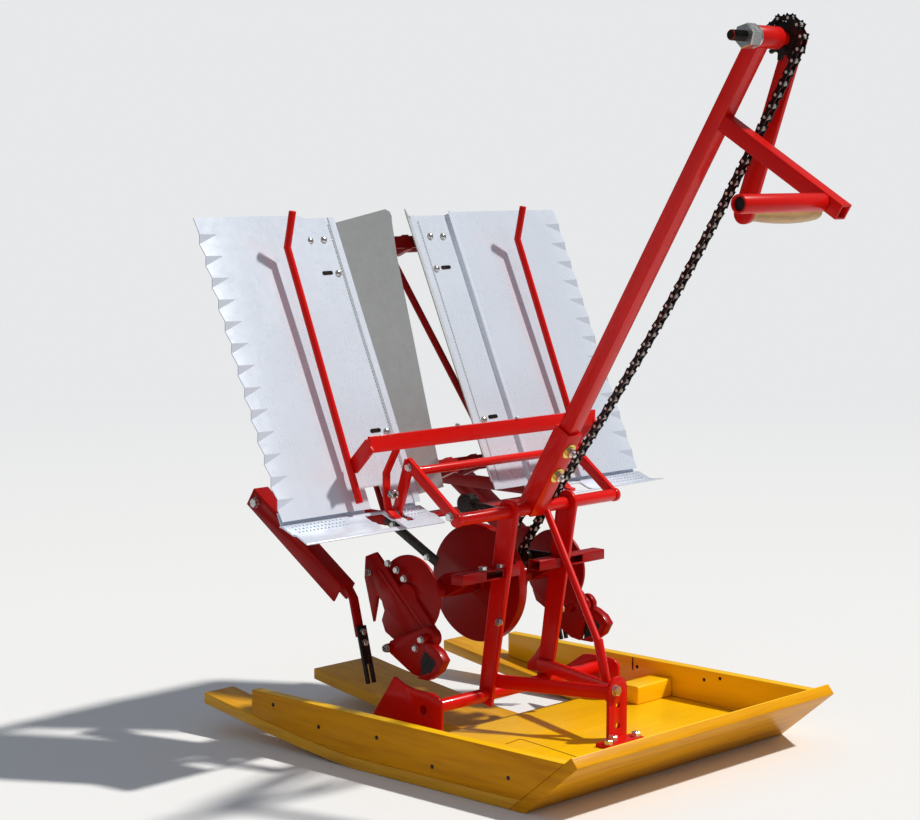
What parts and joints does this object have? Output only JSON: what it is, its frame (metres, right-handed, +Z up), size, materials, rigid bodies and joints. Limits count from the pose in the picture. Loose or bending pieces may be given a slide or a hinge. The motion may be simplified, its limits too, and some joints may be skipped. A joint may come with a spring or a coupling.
{
  "type": "walk behind rice transplanter",
  "caption": "Hand cranked rice transplanter for rows of seedlings: wooden sled, steel frame, leaning seedling trays on a sliding carriage, chain driven planting arms and claws.",
  "frame": {"origin": "on the ground under the middle of the overall box", "axes": "+Z up, -Y towards the bow, the crank and the operator, +Y towards the planks' tails, +X to the side that carries the chain"},
  "size_m": [0.722, 0.8791, 0.9739],
  "materials": {
    "yellow_wood": "brushed yellow paint, worn",
    "red_steel": "glossy red enamel",
    "dark_red_steel": "dark red enamel",
    "galvanised_sheet": "galvanised",
    "black_steel": "black, oiled",
    "turned_wood": "turned and varnished"
  },
  "bodies": {
    "frame": {"deck": "yellow_wood", "runner_left": "yellow_wood", "runner_centre": "yellow_wood", "runner_right": "yellow_wood", "side_board_left": "yellow_wood", "side_board_right": "yellow_wood", "bow_board": "yellow_wood", "cross_batten": "yellow_wood", "lower_tube": "red_steel", "foot_bracket_left": "red_steel", "foot_bracket_right": "red_steel", "post_left": "red_steel", "post_right": "red_steel", "yoke": "red_steel", "depth_plate": "red_steel", "brace_rod": "red_steel", "crossbar_left": "dark_red_steel", "crossbar_right": "dark_red_steel", "upper_tube": "red_steel", "rear_tube": "red_steel", "side_frame_left": "red_steel", "side_frame_right": "red_steel", "gate_plate_left": "red_steel", "gate_plate_right": "red_steel", "press_bar": "red_steel", "press_rod_left": "red_steel", "press_rod_right": "red_steel", "mast_sleeve": "red_steel", "mast": "red_steel", "hand_grip": "red_steel", "shaft_housing_left": "red_steel", "shaft_housing_right": "red_steel", "sill_beam": "dark_red_steel", "sill_left": "galvanised_sheet", "sill_right": "galvanised_sheet", "tray_stand": "dark_red_steel", "chain": "black_steel", "idler": "black_steel"},
    "crank": {"crank": "red_steel", "crank_handle": "turned_wood", "upper_chain_wheel": "black_steel"},
    "main_shaft": {"main_shaft": "dark_red_steel", "lower_chain_wheel": "black_steel", "drum": "dark_red_steel"},
    "planting_arm_left": {"arm_left": "dark_red_steel"},
    "planting_arm_right": {"arm_right": "dark_red_steel"},
    "claw_lever_left": {"claw_lever_left": "dark_red_steel", "claw_left": "black_steel"},
    "claw_lever_right": {"claw_lever_right": "dark_red_steel", "claw_right": "black_steel"},
    "tray_carriage": {"tray_carriage": "red_steel", "tray_left": "galvanised_sheet", "tray_right": "galvanised_sheet"}
  },
  "joints": [
    {"name": "crank_turn", "type": "hinge", "parent": "frame", "child": "crank", "pos_m": [0, -0.30571, 0.94123], "axis": [1, 0, 0], "continuous": true},
    {"name": "shaft_turn", "type": "hinge", "parent": "frame", "child": "main_shaft", "pos_m": [0, 0.1565, 0.212], "axis": [1, 0, 0], "continuous": true},
    {"name": "arm_left_turn", "type": "hinge", "parent": "main_shaft", "child": "planting_arm_left", "pos_m": [-0.163, 0.1085, 0.163], "axis": [1, 0, 0], "continuous": true},
    {"name": "arm_right_turn", "type": "hinge", "parent": "main_shaft", "child": "planting_arm_right", "pos_m": [0.163, 0.1085, 0.163], "axis": [1, 0, 0], "continuous": true},
    {"name": "lever_left_swing", "type": "hinge", "parent": "frame", "child": "claw_lever_left", "pos_m": [-0.197, 0.3965, 0.32], "axis": [1, 0, 0], "range_deg": [-20, 8]},
    {"name": "lever_right_swing", "type": "hinge", "parent": "frame", "child": "claw_lever_right", "pos_m": [0.197, 0.3965, 0.32], "axis": [1, 0, 0], "range_deg": [-20, 8]},
    {"name": "carriage_slide", "type": "slide", "parent": "frame", "child": "tray_carriage", "axis": [1, 0, 0], "range_m": [-0.055, 0.095]}
  ],
  "couplings": [
    {"joint": "shaft_turn", "follows": "crank_turn", "ratio": 1},
    {"joint": "arm_left_turn", "follows": "crank_turn", "ratio": -1},
    {"joint": "arm_right_turn", "follows": "crank_turn", "ratio": -1}
  ]
}
